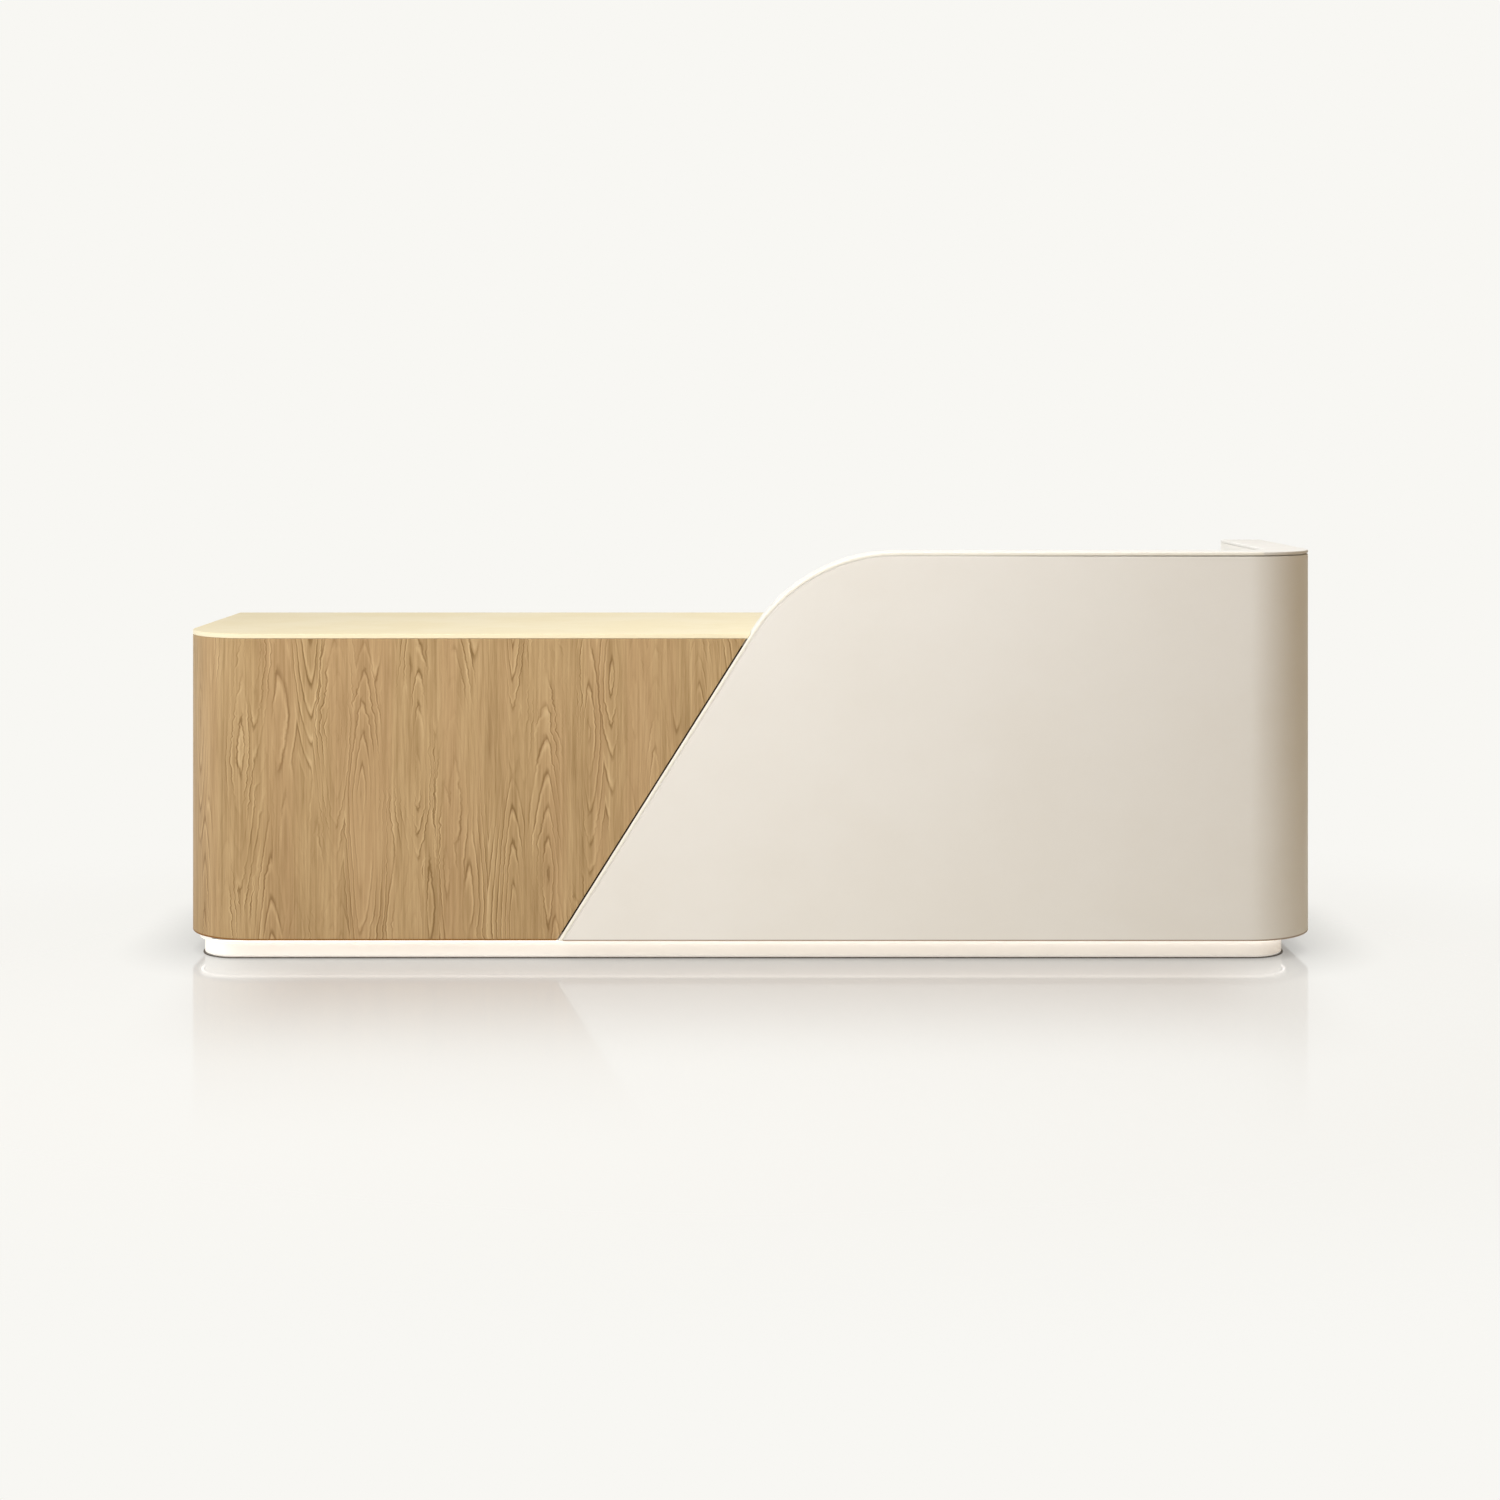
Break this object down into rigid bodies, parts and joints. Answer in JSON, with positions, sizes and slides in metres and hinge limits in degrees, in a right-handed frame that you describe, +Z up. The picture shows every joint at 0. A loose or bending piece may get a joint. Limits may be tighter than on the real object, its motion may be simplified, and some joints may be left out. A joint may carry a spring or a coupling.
{
  "type": "reception desk",
  "caption": "Reception desk with a low oak counter, a tall cream screen wall sweeping across its front, a lit recessed plinth, drawers, a cupboard and a worktop.",
  "frame": {"origin": "on the floor under the middle of the desk's bounding box", "axes": "+X along the desk's length to the visitor's right, +Y towards the receptionist, +Z up"},
  "size_m": [2.8, 0.7, 1],
  "materials": {
    "oak_veneer": "open-pored matt lacquer, upright grain",
    "cream_lacquer": "satin lacquer",
    "pale_slab": "honed, pale cream",
    "worktop_laminate": "matt laminate",
    "white_board": "matt melamine",
    "dark_board": "stained, matt",
    "stud_wood": "planed softwood",
    "plinth_white": "satin lacquer",
    "aluminium": "brushed, anodised",
    "runner_steel": "zinc plated",
    "opal_diffuser": "opal",
    "black_plastic": "fine texture"
  },
  "bodies": {
    "carcass": {"plinth_skirt": "plinth_white", "plinth_back_board": "plinth_white", "plinth_mid_board": "plinth_white", "led_channel": "aluminium", "led_diffuser": "opal_diffuser", "led_driver": "black_plastic", "cabinet_deck": "white_board", "cabinet_sub_top": "white_board", "cabinet_front_board": "dark_board", "cabinet_right_side": "white_board", "cupboard_shelf": "white_board", "cabinet_left_side": "white_board", "cabinet_partition": "white_board", "oak_cladding": "oak_veneer", "counter_slab": "pale_slab", "door_left_pivot_lower": "runner_steel", "door_left_pivot_upper": "runner_steel", "door_right_pivot_lower": "runner_steel", "door_right_pivot_upper": "runner_steel", "drawer_bottom_rail_left": "runner_steel", "drawer_bottom_rail_right": "runner_steel", "drawer_middle_rail_left": "runner_steel", "drawer_middle_rail_right": "runner_steel", "drawer_top_rail_left": "runner_steel", "drawer_top_rail_right": "runner_steel", "wall_sole_plate": "white_board", "screen_cladding": "cream_lacquer", "screen_lining": "cream_lacquer", "return_end_cap": "cream_lacquer", "sweep_capping": "cream_lacquer", "wall_stud_1": "stud_wood", "wall_stud_2": "stud_wood", "wall_stud_3": "stud_wood", "switch_housing": "black_plastic", "worktop": "worktop_laminate", "worktop_ledger": "stud_wood", "worktop_cleat_left": "stud_wood", "worktop_cleat_right": "stud_wood", "grommet_liner": "black_plastic"},
    "door_left_leaf": {"door_left": "oak_veneer", "door_left_handle": "aluminium"},
    "door_right_leaf": {"door_right": "oak_veneer", "door_right_handle": "aluminium"},
    "drawer_bottom": {"drawer_bottom_front": "oak_veneer", "drawer_bottom_box": "white_board", "drawer_bottom_handle": "aluminium", "drawer_bottom_slide_left": "runner_steel", "drawer_bottom_slide_right": "runner_steel"},
    "drawer_middle": {"drawer_middle_front": "oak_veneer", "drawer_middle_box": "white_board", "drawer_middle_handle": "aluminium", "drawer_middle_slide_left": "runner_steel", "drawer_middle_slide_right": "runner_steel"},
    "drawer_top": {"drawer_top_front": "oak_veneer", "drawer_top_box": "white_board", "drawer_top_handle": "aluminium", "drawer_top_slide_left": "runner_steel", "drawer_top_slide_right": "runner_steel"},
    "rocker": {"switch_rocker": "black_plastic"}
  },
  "joints": [
    {"name": "door_left_hinge", "type": "hinge", "parent": "carcass", "child": "door_left_leaf", "pos_m": [-1.358, 0.309, 0.4], "axis": [0, 0, 1], "range_deg": [0, 90]},
    {"name": "door_right_hinge", "type": "hinge", "parent": "carcass", "child": "door_right_leaf", "pos_m": [-0.39691, 0.309, 0.4], "axis": [0, 0, -1], "range_deg": [0, 90]},
    {"name": "drawer_top_slide", "type": "slide", "parent": "carcass", "child": "drawer_top", "axis": [0, 1, 0], "range_m": [0, 0.34]},
    {"name": "drawer_middle_slide", "type": "slide", "parent": "carcass", "child": "drawer_middle", "axis": [0, 1, 0], "range_m": [0, 0.34]},
    {"name": "drawer_bottom_slide", "type": "slide", "parent": "carcass", "child": "drawer_bottom", "axis": [0, 1, 0], "range_m": [0, 0.34]},
    {"name": "rocker_tip", "type": "hinge", "parent": "carcass", "child": "rocker", "pos_m": [1.032, -0.246, 0.846], "axis": [1, 0, 0], "range_deg": [0, 14]}
  ]
}
